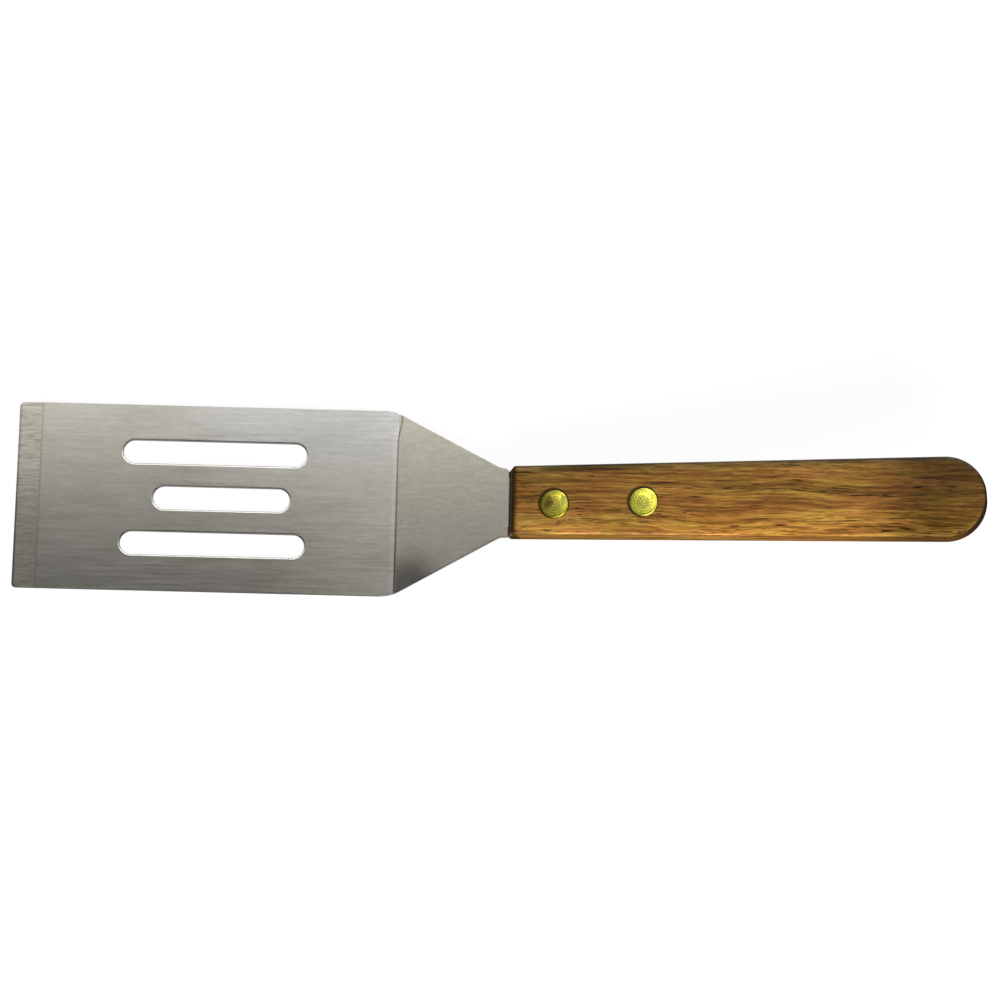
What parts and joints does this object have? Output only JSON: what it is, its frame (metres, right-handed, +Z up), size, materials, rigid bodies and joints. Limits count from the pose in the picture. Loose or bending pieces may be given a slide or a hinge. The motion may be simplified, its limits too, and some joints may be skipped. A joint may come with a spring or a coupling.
{
  "type": "slotted spatula",
  "caption": "Slotted steel turner with a ground front edge, one fold, a tapering shoulder and a riveted wooden handle, for lifting and turning food.",
  "frame": {"origin": "middle of the line on the underside where the flat blade ends and the fold begins", "axes": "+X runs from the blade to the handle, +Z up from the blade's upper face, +Y across the blade"},
  "size_m": [0.2897, 0.057, 0.0395],
  "materials": {
    "steel": "brushed",
    "wood": "satin",
    "brass": "polished"
  },
  "bodies": {
    "root": {"blade": "steel", "handle": "wood", "front_rivet_male": "brass", "front_rivet_female": "brass", "rear_rivet_male": "brass", "rear_rivet_female": "brass"}
  },
  "joints": []
}
